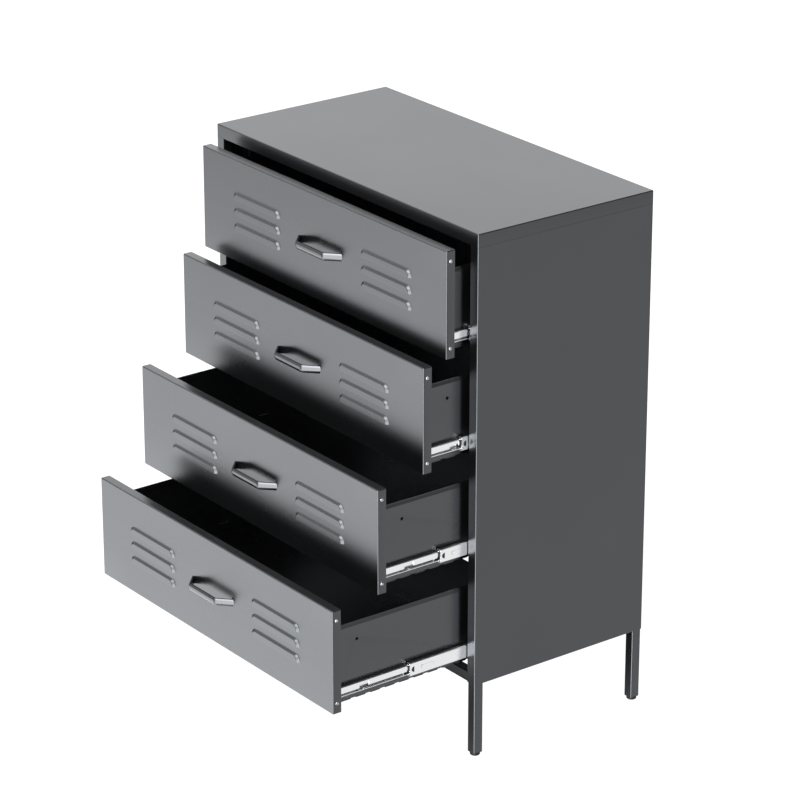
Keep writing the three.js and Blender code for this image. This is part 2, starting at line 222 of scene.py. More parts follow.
def make_coat_group():
    """Cloudy colour, uneven gloss and orange peel of a sprayed and baked coat, and a painted
    highlight that lightens the colour along convex edges.
    """
    inputs = [
        ("Colour", "Color", (0.3, 0.3, 0.3, 1)),
        ("Cloudiness", "Float", 0.04),
        ("Roughness", "Float", 0.35),
        ("Peel Scale", "Float", 700.0),
        ("Thin Edges", "Float", 0.2),
    ]
    tree, add = new_tree("baked_coat", "ShaderNodeTree", inputs, FINISH)
    given = add("NodeGroupInput").outputs
    place = add("ShaderNodeTexCoord").outputs["Object"]
    clouds = add("ShaderNodeTexNoise", {"Vector": place, "Scale": 5.0, "Detail": 4.0})
    cloud = {0: clouds.outputs["Fac"], 1: 0.5}
    centred = add("ShaderNodeMath", cloud, operation="SUBTRACT").outputs[0]
    # Painted highlight: the colour is lightened along convex edges and folds, where Pointiness is
    # high.
    bend = add("ShaderNodeNewGeometry").outputs["Pointiness"]
    edge = add("ShaderNodeMapRange", {"From Min": 0.5, "From Max": 0.62, "Value": bend})
    lightening_inputs = {0: edge.outputs["Result"], 1: given["Thin Edges"]}
    edge_lightening = add("ShaderNodeMath", lightening_inputs, operation="MULTIPLY").outputs[0]
    varied = {0: centred, 1: given["Cloudiness"], 2: 1.0}
    shade = add("ShaderNodeMath", varied, operation="MULTIPLY_ADD").outputs[0]
    lighter = add("ShaderNodeMath", {0: shade, 1: edge_lightening}, operation="ADD").outputs[0]
    tinted = {0: given["Colour"], "Scale": lighter}
    colour = add("ShaderNodeVectorMath", tinted, operation="SCALE").outputs[0]
    uneven = {0: centred, 1: 0.06, 2: given["Roughness"]}
    gloss = add("ShaderNodeMath", uneven, operation="MULTIPLY_ADD").outputs[0]
    ripple = {"Vector": place, "Scale": given["Peel Scale"], "Detail": 2.0}
    peel = add("ShaderNodeTexNoise", ripple).outputs["Fac"]
    add("NodeGroupOutput", {"Colour": colour, "Roughness": gloss, "Height": peel})
    return tree


def finished(name, group, values, metallic, relief, depth):
    """A material whose colour, gloss and relief come from a finish group with these values."""
    material = bpy.data.materials.new(name)
    add = shader_tree(material)
    finish = add("ShaderNodeGroup", node_tree=group)
    for label, value in values.items():
        finish.inputs[label].default_value = value
    bump = {"Strength": relief, "Distance": depth, "Height": finish.outputs["Height"]}
    surface = {
        "Metallic": metallic,
        "Base Color": finish.outputs["Colour"],
        "Roughness": finish.outputs["Roughness"],
        "Normal": add("ShaderNodeBump", bump).outputs["Normal"],
    }
    skin = add("ShaderNodeBsdfPrincipled", surface)
    add("ShaderNodeOutputMaterial", {"Surface": skin.outputs[0]})
    return material


baked_coat = make_coat_group()


def powder_coat(name, colour, roughness, peel, edge_highlight=0.15):
    """A satin paint finish. peel is how strongly the orange peel shows; the last argument is how
    much lighter the colour is painted along convex edges, a painted highlight.
    """
    values = {"Colour": (*colour, 1), "Roughness": roughness, "Thin Edges": edge_highlight}
    return finished(name, baked_coat, values, 0.98, peel, 0.02 * MM)


cabinet_paint = powder_coat("cabinet_paint", (0.096, 0.1, 0.106), 0.3, 0.25)


# ---- Side panels ----
# Each side is one sheet of steel folded round the front and rear legs. Two hat-shaped posts are
# spot-welded up its inside to carry the drawer slides.
SHEET = 0.8 * MM
FOLD = 1.0 * MM  # radius inside a press-brake fold
ARC_STEPS = 5


def fillet(points, thickness, bend):
    """An open path along one face of a sheet that lies to its left, its corners rounded as a fold
    of that inside radius rounds them: pairs of a point and the direction across the sheet."""
    path = [Vector(p) for p in points]
    made = []
    for i, corner in enumerate(path):
        before = (corner - path[i - 1]).normalized() if i else None
        after = (path[i + 1] - corner).normalized() if i + 1 < len(path) else None
        if before is None or after is None:
            along = after or before
            made.append((corner, Vector((-along.y, along.x))))
            continue
        turn = before.angle_signed(after)  # clockwise is positive
        reach = bend + (thickness if turn < 0 else 0)
        room_before = (corner - path[i - 1]).length * (0.5 if i > 1 else 1)
        room_after = (path[i + 1] - corner).length * (0.5 if i + 2 < len(path) else 1)
        reach = min(reach, min(room_before, room_after) / math.tan(abs(turn) / 2))
        start = corner - before * reach * math.tan(abs(turn) / 2)
        left = Vector((-before.y, before.x))
        centre = start + left * (reach if turn < 0 else -reach)
        for step in range(ARC_STEPS + 1):
            rotation = Matrix.Rotation(-turn * step / ARC_STEPS, 2)
            made.append((centre + rotation @ (start - centre), rotation @ left))
    return made


AXES = {
    "x": lambda a, b, along: Vector((along, a, b)),
    "y": lambda a, b, along: Vector((a, along, b)),
    "z": lambda a, b, along: Vector((a, b, along)),
}


def folded_sheet(mesh, points, axis, start, end, thickness=SHEET, bend=FOLD):
    """Adds a sheet folded to an open outline and run along an axis, one closed solid."""
    put = AXES[axis]
    path = fillet(points, thickness, bend)
    rows = []
    for along in (start, end):
        near = [mesh.verts.new(put(p.x, p.y, along)) for p, _ in path]
        far = [mesh.verts.new(put(*(p + n * thickness), along)) for p, n in path]
        rows.append((near, far))
    (near0, far0), (near1, far1) = rows
    faces = []
    for i in range(len(path) - 1):
        faces.append((near0[i], near0[i + 1], near1[i + 1], near1[i]))
        faces.append((far0[i + 1], far0[i], far1[i], far1[i + 1]))
        faces.append((near0[i + 1], near0[i], far0[i], far0[i + 1]))
        faces.append((near1[i], near1[i + 1], far1[i + 1], far1[i]))
    for i in (0, -1):
        faces.append((near0[i], near1[i], far1[i], far0[i]))
    for corners in faces:
        mesh.faces.new(corners)


def mesh_data(bm, name, material, sharp=35, weld=1e-6):
    """Closes a bmesh into a mesh: doubles merged, faces outward, smooth but for its real edges."""
    bmesh.ops.remove_doubles(bm, verts=bm.verts, dist=weld)
    bmesh.ops.dissolve_degenerate(bm, dist=weld, edges=bm.edges)
    bmesh.ops.recalc_face_normals(bm, faces=bm.faces)
    for face in bm.faces:
        face.smooth = True
    for edge in bm.edges:
        if len(edge.link_faces) == 2:
            edge.smooth = edge.calc_face_angle(0) < math.radians(sharp)
    data = bpy.data.meshes.new(name)
    bm.to_mesh(data)
    bm.free()
    data.materials.append(material)
    return data


def settle(data, name, body, replaces=(), at=(0, 0, 0), mirror=False, stiff=True):
    """Puts a copy of a mesh in place as a piece of the object, riding on a body."""
    copy = data.copy()
    copy.name = name
    if mirror:
        copy.transform(Matrix.Diagonal((-1, 1, 1, 1)))
        copy.flip_normals()
    copy.transform(Matrix.Translation(at))
    piece = bpy.data.objects.new(name, copy)
    bpy.context.scene.collection.objects.link(piece)
    if stiff:
        even = piece.modifiers.new("even_shading", "WEIGHTED_NORMAL")
        even.keep_sharp = True
        even.weight = 80
    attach(piece, body)
    if replaces:
        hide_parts(*replaces)


POST_FLANGE = 11 * MM


def make_side_panel(low, high, posts):
    """The left panel, its outer face at x = low.x."""
    bm = bmesh.new()
    x, turned = low.x, high.x
    outline = [(turned, low.y), (x, low.y), (x, high.y), (turned, high.y)]
    folded_sheet(bm, outline[::-1], "z", low.z, high.z)
    skin = x + SHEET
    for front, rear in posts:
        hat = [
            (skin, front - POST_FLANGE),
            (skin, front),
            (turned - SHEET, front),
            (turned - SHEET, rear),
            (skin, rear),
            (skin, rear + POST_FLANGE),
        ]
        folded_sheet(bm, hat[::-1], "z", low.z, high.z)
    return mesh_data(bm, "side_panel", cabinet_paint)


POST_WIDTH = 40 * MM
FRONT_POST_SETBACK = 60 * MM
REAR_POST_SETBACK = 70 * MM
panel_low, panel_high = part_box("left_side_panel")
front_post = panel_low.y + FRONT_POST_SETBACK
rear_post = panel_high.y - REAR_POST_SETBACK - POST_WIDTH
posts = [(start, start + POST_WIDTH) for start in (front_post, rear_post)]
side_panel = make_side_panel(panel_low, panel_high, posts)
for name, mirror in (("left_side_panel", False), ("right_side_panel", True)):
    settle(side_panel, "folded_" + name, "cabinet", [name], mirror=mirror)


# ---- Back panel ----
# One flat sheet with its two side edges turned forwards, riveted between the side panels' flanges.
BACK_FLANGE = 12 * MM


def make_back_panel(low, high):
    bm = bmesh.new()
    outline = [(low.x, high.y - BACK_FLANGE), (low.x, high.y), (high.x, high.y)]
    outline += [(high.x, high.y - BACK_FLANGE)]
    folded_sheet(bm, outline[::-1], "z", low.z, high.z)
    return mesh_data(bm, "back_panel", cabinet_paint)


back_panel = make_back_panel(*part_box("back_panel"))
settle(back_panel, "folded_back_panel", "cabinet", ["back_panel"])


# ---- Top cover ----
# A shallow tray of sheet steel turned over: its rim is folded down all round, the corners are
# welded and ground smooth, and the lower edge is turned in again between the legs.
RETURN_WIDTH = 15 * MM
RETURN_UPSTAND = 4 * MM
RETURN_END = 22 * MM  # short of the corners, where the legs are


def tray(mesh, put, u_lines, v_lines, fold, depth, windows=()):
    """Adds the outer skin of a tray: a flat face gridded by u_lines and v_lines, its rim turned
    down through a rounded fold. put places a point of the flat face at a depth below it."""
    grid = {
        (i, j): mesh.verts.new(put(u, v, 0))
        for i, u in enumerate(u_lines)
        for j, v in enumerate(v_lines)
    }
    columns, rows = len(u_lines) - 1, len(v_lines) - 1
    for i in range(columns):
        for j in range(rows):
            if (i, j) not in windows:
                mesh.faces.new([grid[i, j], grid[i + 1, j], grid[i + 1, j + 1], grid[i, j + 1]])

    rim = []
    sides = [
        ([(i, 0) for i in range(columns + 1)], -90),
        ([(columns, j) for j in range(rows + 1)], 0),
        ([(i, rows) for i in reversed(range(columns + 1))], 90),
        ([(0, j) for j in reversed(range(rows + 1))], 180),
    ]
    for cells, facing in sides:
        for i, j in cells:
            rim.append((u_lines[i], v_lines[j], facing))
        for step in range(1, ARC_STEPS):
            rim.append((*rim[-1][:2], facing + 90 * step / ARC_STEPS))

    rings = [(fold * math.sin(t), fold * (1 - math.cos(t))) for t in arc_angles(ARC_STEPS)]
    rings.append((fold, depth))
    before = None
    for out, down in rings:
        ring = []
        for u, v, facing in rim:
            turn = math.radians(facing)
            spot = put(u + out * math.cos(turn), v + out * math.sin(turn), down)
            ring.append(mesh.verts.new(spot))
        if before:
            bridge(mesh, before, ring)
        before = ring


def arc_angles(steps):
    return [math.pi / 2 * step / steps for step in range(steps + 1)]


def bridge(mesh, ring, following):
    """Faces between two closed rings of as many vertices."""
    for k in range(len(ring)):
        after = (k + 1) % len(ring)
        mesh.faces.new([ring[k], ring[after], following[after], following[k]])


def thicken(mesh):
    """Turns an open skin into a sheet, the new wall behind the skin."""
    bmesh.ops.remove_doubles(mesh, verts=mesh.verts, dist=1e-6)
    bmesh.ops.dissolve_degenerate(mesh, dist=1e-6, edges=mesh.edges)
    bmesh.ops.recalc_face_normals(mesh, faces=mesh.faces)
    data = bpy.data.meshes.new("skin")
    mesh.to_mesh(data)
    holder = bpy.data.objects.new("skin", data)
    bpy.context.scene.collection.objects.link(holder)
    wall = holder.modifiers.new("wall", "SOLIDIFY")
    wall.thickness = SHEET
    wall.offset = -1
    wall.use_even_offset = True
    mesh.clear()
    mesh.from_mesh(plain_mesh(holder))


def plain_mesh(holder):
    """The mesh that an object's modifiers make, the object itself removed."""
    seen = holder.evaluated_get(bpy.context.evaluated_depsgraph_get())
    data = bpy.data.meshes.new_from_object(seen)
    bpy.data.objects.remove(holder)
    return data


def make_top_cover(low, high):
    bm = bmesh.new()
    fold = FOLD + SHEET
    u_lines = [low.x + fold, high.x - fold]
    v_lines = [low.y + fold, high.y - fold]
    tray(bm, lambda u, v, w: Vector((u, v, high.z - w)), u_lines, v_lines, fold, high.z - low.z)
    thicken(bm)
    inside = SHEET * 1.01
    for axis, near, far, first, last in (
        ("x", low.y, high.y, low.x, high.x),
        ("y", low.x, high.x, low.y, high.y),
    ):
        for end, inward in ((near + inside, 1), (far - inside, -1)):
            edge = [(end, low.z + SHEET + RETURN_UPSTAND), (end, low.z)]
            edge.append((end + inward * RETURN_WIDTH, low.z))
            edge = edge[::inward]
            folded_sheet(bm, edge, axis, first + RETURN_END, last - RETURN_END)
    return mesh_data(bm, "top_cover", cabinet_paint)


top_cover = make_top_cover(*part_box("top_cover"))
settle(top_cover, "folded_top_cover", "cabinet", ["top_cover"])


# ---- Legs and bottom rails ----
# Square steel tube with rounded corners. The rails are mitre-free lengths welded between the legs
# under the drawers; a black plastic plug closes each leg and holds the thread of its foot.
TUBE_WALL = 1.2 * MM
TUBE_CORNER = 2.2 * MM
PLUG_LIP = 1.2 * MM


def rounded_square(half, corner):
    """Corner points of a square with round corners, as pairs, going round."""
    points = []
    for quarter in range(4):
        for step in range(ARC_STEPS + 1):
            turn = math.pi / 2 * (quarter + step / ARC_STEPS)
            cx = (half - corner) * (1 if quarter in (0, 3) else -1)
            cy = (half - corner) * (1 if quarter in (0, 1) else -1)
            points.append((cx + corner * math.cos(turn), cy + corner * math.sin(turn)))
    return points


def loop_skin(mesh, loops):
    """Joins closed loops of equal count, each to the next and the last to the first."""
    rings = [[mesh.verts.new(p) for p in loop] for loop in loops]
    for ring, following in zip(rings, rings[1:] + rings[:1]):
        bridge(mesh, ring, following)


def square_tube(mesh, axis, centre, start, end):
    put = AXES[axis]
    half = (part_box("leg_front_left")[1].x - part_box("leg_front_left")[0].x) / 2
    outer = rounded_square(half, TUBE_CORNER)
    inner = rounded_square(half - TUBE_WALL, TUBE_CORNER - TUBE_WALL / 2)

    def ring(outline, along):
        return [put(centre[0] + a, centre[1] + b, along) for a, b in outline]

    loop_skin(mesh, [ring(outer, start), ring(outer, end), ring(inner, end), ring(inner, start)])


def revolve(mesh, profile, centre, segments=32):
    """Adds a turned shape about an upright axis; the profile is (radius, height) pairs that start
    and end on the axis."""
    rings = []
    for radius, height in profile:
        if radius < 1e-7:
            rings.append([mesh.verts.new(centre + Vector((0, 0, height)))])
            continue
        turns = [2 * math.pi * k / segments for k in range(segments)]
        points = [Vector((radius * math.cos(t), radius * math.sin(t), height)) for t in turns]
        rings.append([mesh.verts.new(centre + p) for p in points])
    for low, high in zip(rings, rings[1:]):
        for k in range(segments):
            after = (k + 1) % segments
            if len(low) == 1:
                mesh.faces.new([low[0], high[after], high[k]])
            elif len(high) == 1:
                mesh.faces.new([low[k], low[after], high[0]])
            else:
                mesh.faces.new([low[k], low[after], high[after], high[k]])


def make_leg(low, high):
    bm = bmesh.new()
    centre = ((low.x + high.x) / 2, (low.y + high.y) / 2)
    square_tube(bm, "z", centre, low.z + PLUG_LIP, high.z)
    return mesh_data(bm, "leg", cabinet_paint)


for end in ("front", "rear"):
    low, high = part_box(end + "_bottom_rail")
    rail = bmesh.new()
    square_tube(rail, "x", ((low.y + high.y) / 2, (low.z + high.z) / 2), low.x, high.x)
    rail = mesh_data(rail, "rail", cabinet_paint)
    settle(rail, end + "_rail_tube", "cabinet", [end + "_bottom_rail"])
    for side in ("left", "right"):
        corner = f"{end}_{side}"
        leg = make_leg(*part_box("leg_" + corner))
        settle(leg, corner + "_leg_tube", "cabinet", ["leg_" + corner])


# ---- Feet and leg plugs ----
# Levelling feet of black moulded plastic on a threaded steel stud, screwed up into the ribbed
# plastic plug that is driven into the end of each leg.
STUD_PITCH = 1.25 * MM
STUD_RADIUS = 4 * MM
THREAD_DEPTH = 0.35 * MM
PLUG_LENGTH = 12 * MM
PLUG_BORE = 0.3 * MM  # wider than the stud all round
FOOT_GAP = 0.3 * MM  # between the foot and the end of the leg


def make_black_plastic():
    """Moulded black plastic: fine grain, with scuffs that vary its tone and sheen."""
    material = bpy.data.materials.new("black_plastic")
    add = shader_tree(material)
    place = add("ShaderNodeTexCoord").outputs["Object"]
    pits = add("ShaderNodeTexNoise", {"Vector": place, "Scale": 1400.0, "Detail": 3.0})
    scuffs = add("ShaderNodeTexNoise", {"Vector": place, "Scale": 60.0, "Detail": 5.0})
    scuff = scuffs.outputs["Fac"]
    tone = add("ShaderNodeValToRGB", {"Fac": scuff})
    tone.color_ramp.elements[0].color = (0.012, 0.012, 0.013, 1)
    tone.color_ramp.elements[1].color = (0.0228, 0.0228, 0.0247, 1)
    sheen = add("ShaderNodeMapRange", {"To Min": 0.42, "To Max": 0.58, "Value": scuff})
    relief = {"Strength": 0.5, "Distance": 0.03 * MM, "Height": pits.outputs["Fac"]}
    surface = {
        "Base Color": tone.outputs["Color"],
        "Roughness": sheen.outputs["Result"],
        "Normal": add("ShaderNodeBump", relief).outputs["Normal"],
    }
    shell = add("ShaderNodeBsdfPrincipled", surface)
    add("ShaderNodeOutputMaterial", {"Surface": shell.outputs[0]})
    return material


black_plastic = make_black_plastic()


def make_foot(low, high, pad_top):
    bm = bmesh.new()
    centre = Vector(((low.x + high.x) / 2, (low.y + high.y) / 2, low.z))
    radius = (high.x - low.x) / 2
    pad = pad_top - low.z
    profile = [(0, 0), (radius - 2.4 * MM, 0), (radius - 1.2 * MM, 0.25 * MM)]
    profile += [(radius - 0.35 * MM, 1.0 * MM), (radius, 2.0 * MM), (radius, pad - 1.2 * MM)]
    profile += [(radius - 0.4 * MM, pad - 0.4 * MM), (radius - 1.4 * MM, pad)]
    profile += [(STUD_RADIUS, pad)]
    height = pad + STUD_PITCH / 2
    while height < high.z - low.z - STUD_PITCH:
        profile += [(STUD_RADIUS, height), (STUD_RADIUS - THREAD_DEPTH, height + STUD_PITCH / 2)]
        height += STUD_PITCH
    top = high.z - low.z
    profile += [(STUD_RADIUS - THREAD_DEPTH, top - 0.4 * MM), (STUD_RADIUS - 2 * THREAD_DEPTH, top)]
    profile += [(0, top)]
    revolve(bm, profile, centre)
    return mesh_data(bm, "foot", black_plastic)


def make_plug(low, high):
    """The plug's lip closes the tube end; the sleeve behind it grips the bore."""
    bm = bmesh.new()
    centre = Vector(((low.x + high.x) / 2, (low.y + high.y) / 2, 0))
    half = (high.x - low.x) / 2
    bore = STUD_RADIUS + PLUG_BORE
    sleeve = half - TUBE_WALL - 0.1 * MM

    def square(size, corner, z):
        return [centre + Vector((a, b, z)) for a, b in rounded_square(size, corner)]

    def circle(z):
        turns = [math.atan2(b, a) for a, b in rounded_square(half, TUBE_CORNER)]
        return [centre + Vector((bore * math.cos(t), bore * math.sin(t), z)) for t in turns]

    lip_top = low.z + PLUG_LIP - 0.05 * MM
    top = low.z + PLUG_LENGTH
    loops = [
        circle(low.z),
        square(half - 0.5 * MM, TUBE_CORNER - 0.3 * MM, low.z),
        square(half - 0.1 * MM, TUBE_CORNER, low.z + 0.4 * MM),
        square(half - 0.1 * MM, TUBE_CORNER, lip_top),
        square(sleeve, TUBE_CORNER - 0.5 * MM, lip_top),
        square(sleeve, TUBE_CORNER - 0.5 * MM, top),
        circle(top),
    ]
    loop_skin(bm, loops)
    return mesh_data(bm, "plug", black_plastic)


for corner in ("front_left", "front_right", "rear_left", "rear_right"):
    leg_low, leg_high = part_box("leg_" + corner)
    foot = make_foot(*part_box("foot_" + corner), leg_low.z - FOOT_GAP)
    settle(foot, corner + "_levelling_foot", "foot_" + corner, ["foot_" + corner])
    settle(make_plug(leg_low, leg_high), corner + "_leg_plug", "cabinet")


# ---- Drawer fronts ----
# The outer skin is a tray of sheet steel, its rim folded back all round. Two stacks of three
# louvres are lanced and pressed out of it, each open along its lower lip.
drawer_paint = powder_coat("drawer_paint", (0.097, 0.101, 0.107), 0.27, 0.12)
DRAWERS = ["drawer_1", "drawer_2", "drawer_3", "drawer_4"]
FRONT_THICKNESS = 18 * MM
LOUVRE = {"half": 74.5 * MM, "height": 15 * MM, "corner": 13 * MM}
LOUVRE_PITCH = 30.4 * MM
LOUVRE_OFFSET = 200 * MM
# How far inside the louvre's edge, and how far proud of the front, across the pressed slope.
LOUVRE_SLOPE = [(0, 0), (0.15, 0.1), (0.45, 0.5), (2.9, 3.4), (3.2, 3.75), (3.8, 4.0)]
LOUVRE_END_SPREAD = 1.6  # the slope is this many times wider at the two ends
CELL_HALF = 78 * MM
CELL_LOW = -4 * MM
CELL_HIGH = 19 * MM

front_low, front_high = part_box("drawer_1_front")
front_width = front_high.x - front_low.x
front_height = front_high.z - front_low.z


def drawer_place(drawer):
    """Where a drawer's own frame sits: middle, outer face and lower edge of its front."""
    low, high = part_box(drawer + "_front")
    return Vector(((low.x + high.x) / 2, high.y - FRONT_THICKNESS, low.z))


def make_louvre():
    """One pressed louvre in its own rectangle of flat sheet, which the front leaves open for it."""
    bm = bmesh.new()
    rings = []
    for inset, rise in LOUVRE_SLOPE:
        half = LOUVRE["half"] - inset * MM * LOUVRE_END_SPREAD
        top = LOUVRE["height"] - inset * MM
        corner = LOUVRE["corner"] - inset * MM
        outline = [(-half, 0)]
        for side in (-1, 1):
            for t in arc_angles(8)[::-side]:
                across = side * (half - corner + corner * math.cos(t))
                outline.append((across, top - corner + corner * math.sin(t)))
        outline.append((half, 0))
        rings.append([bm.verts.new((x, -rise * MM, z)) for x, z in outline])
    for ring, inner in zip(rings, rings[1:]):
        for k in range(len(ring) - 1):
            bm.faces.new([ring[k], ring[k + 1], inner[k + 1], inner[k]])
    bm.faces.new(rings[-1])
    edge = rings[0]
    corners = [(-CELL_HALF, CELL_LOW), (CELL_HALF, CELL_LOW)]
    corners += [(CELL_HALF, CELL_HIGH), (-CELL_HALF, CELL_HIGH)]
    a, b, c, d = [bm.verts.new((x, 0, z)) for x, z in corners]
    middle = len(edge) // 2
    bm.faces.new([a, b, edge[-1], edge[0]])
    bm.faces.new([b, c] + edge[middle:])
    bm.faces.new([c, d, edge[middle - 1], edge[middle]])
    bm.faces.new([d, a] + edge[:middle])
    bmesh.ops.recalc_face_normals(bm, faces=bm.faces)
    data = bpy.data.meshes.new("louvre")
    bm.to_mesh(data)
    bm.free()
    return data


def modifier_tree(name, inputs):
    """An empty Geometry Nodes tree with a geometry in and out and the named inputs."""
    geometry = [("Geometry", "Geometry")]
    return new_tree(name, "GeometryNodeTree", geometry + inputs, geometry)


def copies_joined(tree, add, given, points, piece, turn=(0, 0, 0)):
    """Real copies of an input object on points, joined with the geometry that comes in."""
    source = add("GeometryNodeObjectInfo", {"Object": given[piece]}).outputs["Geometry"]
    placed = {"Points": points, "Instance": source, "Rotation": turn}
    copies = add("GeometryNodeInstanceOnPoints", placed).outputs["Instances"]
    real = add("GeometryNodeRealizeInstances", {"Geometry": copies}).outputs["Geometry"]
    together = add("GeometryNodeJoinGeometry")
    for part in (real, given["Geometry"]):
        tree.links.new(part, together.inputs["Geometry"])
    return together.outputs["Geometry"]


def finish_tree(add, given, geometry):
    """Ends a tree: the geometry takes the finish and goes out."""
    coated = {"Geometry": geometry, "Material": given["Finish"]}
    finish = add("GeometryNodeSetMaterial", coated)
    add("NodeGroupOutput", {"Geometry": finish.outputs["Geometry"]})


def run_tree(tree, data, values):
    """The plain mesh that a tree makes of some mesh data with these input values."""
    holder = bpy.data.objects.new("holder", data)
    bpy.context.scene.collection.objects.link(holder)
    modifier = holder.modifiers.new(tree.name, "NODES")
    modifier.node_group = tree
    for item in tree.interface.items_tree:
        if item.in_out == "INPUT" and item.name in values:
            modifier[item.identifier] = values[item.name]
    return plain_mesh(holder)


def make_louvre_tree():
    """Sets copies of one pressed louvre on an upright grid and welds them into the sheet."""
    inputs = [
        ("Louvre", "Object"),
        ("Columns", "Int"),
        ("Rows", "Int"),
        ("Column Spacing", "Float"),
        ("Row Pitch", "Float"),
        ("Middle", "Vector"),
        ("Finish", "Material"),
    ]
    tree, add = modifier_tree("louvre_grid", inputs)
    given = add("NodeGroupInput").outputs
    sizes = []
    for count, pitch in (("Columns", "Column Spacing"), ("Rows", "Row Pitch")):
        gaps = add("ShaderNodeMath", {0: given[count], 1: 1}, operation="SUBTRACT").outputs[0]
        size = add("ShaderNodeMath", {0: gaps, 1: given[pitch]}, operation="MULTIPLY")
        sizes.append(size.outputs[0])
    counts = {"Vertices X": given["Columns"], "Vertices Y": given["Rows"]}
    grid = add("GeometryNodeMeshGrid", {"Size X": sizes[0], "Size Y": sizes[1], **counts})
    upright = {"Translation": given["Middle"], "Rotation": (math.pi / 2, 0, 0)}
    stand = add("GeometryNodeTransform", {"Geometry": grid.outputs["Mesh"], **upright})
    joined = copies_joined(tree, add, given, stand.outputs["Geometry"], "Louvre")
    weld = add("GeometryNodeMergeByDistance", {"Geometry": joined, "Distance": 0.01 * MM})
    finish_tree(add, given, weld.outputs["Geometry"])
    return tree


def make_front_skin():
    """The front's outer tray in its own frame, louvres welded in."""
    fold = FOLD + SHEET
    middle = front_height / 2
    half = front_width / 2
    bands = [middle + LOUVRE_PITCH * row - LOUVRE["height"] / 2 for row in (-1, 0, 1)]
    u_lines = [fold - half]
    for side in (-1, 1):
        u_lines += [side * LOUVRE_OFFSET - CELL_HALF, side * LOUVRE_OFFSET + CELL_HALF]
    u_lines.append(half - fold)
    v_lines = [fold]
    for foot in bands:
        v_lines += [foot + CELL_LOW, foot + CELL_HIGH]
    v_lines.append(front_height - fold)
    windows = {(i, j) for i in (1, 3) for j in (1, 3, 5)}
    bm = bmesh.new()
    tray(bm, lambda u, v, w: Vector((u, w, v)), u_lines, v_lines, fold, FRONT_THICKNESS, windows)
    bmesh.ops.remove_doubles(bm, verts=bm.verts, dist=1e-6)
    skin = bpy.data.meshes.new("front_skin")
    bm.to_mesh(skin)
    pattern = bpy.data.objects.new("louvre_pattern", make_louvre())
    values = {
        "Louvre": pattern,
        "Columns": 2,
        "Rows": 3,
        "Column Spacing": 2 * LOUVRE_OFFSET,
        "Row Pitch": LOUVRE_PITCH,
        "Middle": (0, 0, bands[1]),
        "Finish": drawer_paint,
    }
    pressed = run_tree(make_louvre_tree(), skin, values)
    bpy.data.objects.remove(pattern)
    bm.clear()
    bm.from_mesh(pressed)
    thicken(bm)
    return mesh_data(bm, "front_skin", drawer_paint, sharp=50)


# ---- Front liners ----
# A second, plainer tray closes each front from behind. It is screwed on through the side flanges
# of the outer skin, two screws a side.
LINER_INSET = 1.1 * MM
LINER_DEPTH = 9 * MM


def make_liner():
    bm = bmesh.new()
    fold = FOLD + SHEET
    half = front_width / 2 - LINER_INSET
    u_lines = [fold - half, half - fold]
    v_lines = [LINER_INSET + fold, front_height - LINER_INSET - fold]
    back = FRONT_THICKNESS - 0.3 * MM
    tray(bm, lambda u, v, w: Vector((u, back - w, v)), u_lines, v_lines, fold, LINER_DEPTH)
    thicken(bm)
    return mesh_data(bm, "liner", drawer_paint)


front_skin = make_front_skin()
liner = make_liner()
for drawer in DRAWERS:
    place = drawer_place(drawer)
    settle(front_skin, drawer + "_front_skin", drawer, [drawer + "_front"], place)
    settle(liner, drawer + "_front_liner", drawer, (), place)


# ---- Handles ----
# A flat steel bar with two bevelled edges, bent to a trapezium, its feet welded to the front. Its
# coat is a touch glossier than the sheets'.
# Its painted edge highlight is a little weaker than the sheets'.
handle_paint = powder_coat("handle_paint", (0.097, 0.101, 0.107), 0.24, 0.06, 0.1)
HANDLE_BEND = 7 * MM
HANDLE_THICKNESS = 5 * MM
HANDLE_BAR = 42 * MM  # half the straight middle
HANDLE_OVERRUN = 0.4  # how far the legs run on past the front before they are cut off
HANDLE_BEVEL = (3.3 * MM, 2.4 * MM)  # up the face, and back from it


def make_handle(low, high, plane):
    bm = bmesh.new()
    half = (high.x - low.x) / 2
    reach = plane - low.y
    height = high.z - low.z
    foot = (half + (half - HANDLE_BAR) * HANDLE_OVERRUN, reach * HANDLE_OVERRUN)
    corners = [(-foot[0], foot[1]), (-HANDLE_BAR, -reach), (HANDLE_BAR, -reach), foot]
    path = fillet(corners, HANDLE_THICKNESS, HANDLE_BEND)
    up, back = HANDLE_BEVEL
    soft = 0.5 * MM
    section = [
        (back, -height / 2),
        (back * 0.62, -height / 2 + up * 0.4),
        (back * 0.28, -height / 2 + up),
        (back * 0.07, -height / 2 + up * 1.6),
        (0, -height / 2 + up * 1.9),
        (0, height / 2 - up - soft),
        (soft * 0.4, height / 2 - up + soft),
        (back * 0.75, height / 2 - 0.5 * soft),
        (back + soft, height / 2),
        (HANDLE_THICKNESS - soft, height / 2),
        (HANDLE_THICKNESS, height / 2 - soft),
        (HANDLE_THICKNESS, -height / 2 + soft),
        (HANDLE_THICKNESS - soft, -height / 2),
    ]
    rings = []
    for point, across in path:
        ring = []
        for depth, rise in section:
            spot = point + across * depth
            ring.append(bm.verts.new((spot.x, spot.y, rise)))
        rings.append(ring)
    for ring, following in zip(rings, rings[1:]):
        bridge(bm, ring, following)
    cut = bmesh.ops.bisect_plane(
        bm,
        geom=bm.verts[:] + bm.edges[:] + bm.faces[:],
        plane_co=(0, 0, 0),
        plane_no=(0, 1, 0),
        clear_outer=True,
    )
    rim = [e for e in cut["geom_cut"] if isinstance(e, bmesh.types.BMEdge)]
    bmesh.ops.holes_fill(bm, edges=rim, sides=0)
    return mesh_data(bm, "handle", handle_paint, sharp=28)


for drawer in DRAWERS:
    low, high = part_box(drawer + "_handle")
    place = drawer_place(drawer)
    seat = Vector((0, place.y - 0.05 * MM, (low.z + high.z) / 2))
    handle = make_handle(low, high, seat.y)
    settle(handle, drawer + "_bar_handle", drawer, [drawer + "_handle"], seat)


